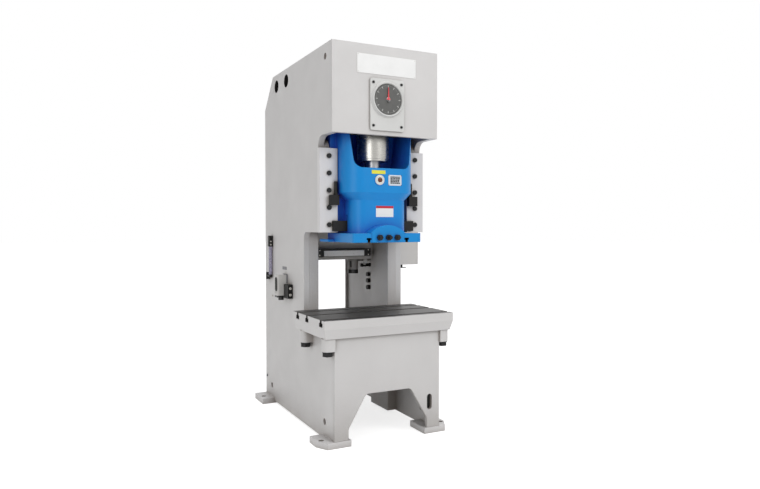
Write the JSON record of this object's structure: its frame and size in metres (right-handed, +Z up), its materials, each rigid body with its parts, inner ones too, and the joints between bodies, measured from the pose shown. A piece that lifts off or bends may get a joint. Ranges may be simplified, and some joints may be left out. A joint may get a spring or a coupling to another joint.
{
  "type": "open front mechanical stamping press",
  "caption": "C-frame stamping press with a crank-driven slide between gib plates, a bull gear and flywheel in its head, and a T-slotted bolster over an arched bed.",
  "frame": {"origin": "on the floor, in the middle of the four anchor bolt holes", "axes": "+Z up, +Y from the front to the rear, +X to the right of someone who faces the press; X = 0 is the middle of the frame"},
  "size_m": [1.1155, 1.625, 2.78],
  "materials": {
    "frame_paint": "satin",
    "slide_paint": "satin",
    "table_steel": "ground",
    "machined_steel": "satin",
    "polished_steel": "polished",
    "cast_gear": "satin",
    "guide_bronze": "satin",
    "black_parts": "satin",
    "bolt_black": "satin",
    "dial_paint": "satin",
    "dial_face": "matte",
    "plate_white": "satin",
    "needle_red": "satin",
    "lamp_white": "translucent",
    "lube_tube": "translucent",
    "filter_grey": "satin",
    "valve_black": "satin",
    "motor_grey": "satin",
    "belt_rubber": "matte",
    "cabinet_paint": "satin",
    "sight_glass": "clear"
  },
  "bodies": {
    "frame": {"side_plate_left": "frame_paint", "side_plate_right": "frame_paint", "head_front_plate": "frame_paint", "head_top_plate": "frame_paint", "column_boxes": "frame_paint", "throat_cross_plate": "frame_paint", "bed_front_plate": "frame_paint", "bed_table_plate": "frame_paint", "bed_cross_plate": "frame_paint", "rear_plate": "frame_paint", "rear_guard": "frame_paint", "crank_bearing_wall": "frame_paint", "gear_bearing_wall": "frame_paint", "shaft_bushes": "guide_bronze", "foot_pads": "frame_paint", "bolster_plate": "table_steel", "bolster_lugs": "frame_paint", "bolster_bolts": "bolt_black", "gib_plate_left": "frame_paint", "gib_plate_right": "frame_paint", "gib_bolts": "bolt_black", "guide_rails": "frame_paint", "guide_liners": "guide_bronze", "knockout_stops": "black_parts", "balance_cylinders": "black_parts", "motor": "motor_grey", "motor_shelf": "frame_paint", "drive_belt": "belt_rubber", "dial_plate": "dial_paint", "dial_ring": "dial_paint", "lubricator_fittings": "black_parts", "lubricator_tube": "lube_tube", "air_filter": "filter_grey", "valve_block": "valve_black", "electrical_cabinet": "cabinet_paint", "cable_glands": "black_parts", "lamp_housing": "black_parts", "lamp_diffuser": "lamp_white", "inner_filter": "filter_grey"},
    "slide": {"slide": "slide_paint", "shank_clamp": "slide_paint", "clamp_fasteners": "bolt_black", "ball_seat": "machined_steel", "slide_gauge": "sight_glass", "balance_rods": "machined_steel"},
    "crankshaft": {"crankshaft": "machined_steel", "bull_gear": "cast_gear", "dial_pointer": "needle_red"},
    "connecting_rod": {"connecting_rod": "machined_steel", "rod_cap": "machined_steel", "rod_bolts": "bolt_black", "rod_sleeve": "polished_steel", "adjusting_screw": "machined_steel"},
    "knockout_bar": {"knockout_bar": "black_parts"},
    "pinion_shaft": {"pinion_shaft": "machined_steel", "clutch_disc": "cast_gear"},
    "flywheel": {"flywheel": "cast_gear"},
    "motor_pulley": {"motor_pulley": "cast_gear"},
    "cabinet_door": {"cabinet_door": "cabinet_paint"},
    "door_latch": {"door_latch": "machined_steel"}
  },
  "joints": [
    {"name": "slide_stroke", "type": "slide", "parent": "frame", "child": "slide", "axis": [0, 0, -1], "range_m": [0, 0.16]},
    {"name": "crank_turn", "type": "hinge", "parent": "frame", "child": "crankshaft", "pos_m": [0, -0.4885, 2.407], "axis": [0, 1, 0], "range_deg": [0, 180]},
    {"name": "rod_pivot", "type": "hinge", "parent": "crankshaft", "child": "connecting_rod", "pos_m": [0, -0.4885, 2.487], "axis": [0, 1, 0], "range_deg": [-180, 0]},
    {"name": "pinion_turn", "type": "hinge", "parent": "frame", "child": "pinion_shaft", "pos_m": [0, 0.3, 2.032], "axis": [0, 1, 0], "range_deg": [-720, 0]},
    {"name": "flywheel_spin", "type": "hinge", "parent": "frame", "child": "flywheel", "pos_m": [0, 0.64, 2.032], "axis": [0, 1, 0], "continuous": true},
    {"name": "motor_spin", "type": "hinge", "parent": "frame", "child": "motor_pulley", "pos_m": [0, 0.64, 1.48], "axis": [0, 1, 0], "continuous": true},
    {"name": "knockout_slide", "type": "slide", "parent": "slide", "child": "knockout_bar", "axis": [0, 0, 1], "range_m": [0, 0.04]},
    {"name": "door_hinge", "type": "hinge", "parent": "frame", "child": "cabinet_door", "pos_m": [0.5795, 0.47, 1.6], "axis": [0, 0, 1], "range_deg": [0, 110]},
    {"name": "latch_turn", "type": "hinge", "parent": "cabinet_door", "child": "door_latch", "pos_m": [0.5795, -0.116, 1.6025], "axis": [1, 0, 0], "range_deg": [0, 90]}
  ],
  "couplings": [
    {"joint": "crank_turn", "follows": "slide_stroke", "rad_per_m": 19.635},
    {"joint": "rod_pivot", "follows": "slide_stroke", "rad_per_m": -19.635},
    {"joint": "pinion_turn", "follows": "slide_stroke", "rad_per_m": -78.54},
    {"joint": "motor_spin", "follows": "flywheel_spin", "ratio": 4.5333}
  ]
}
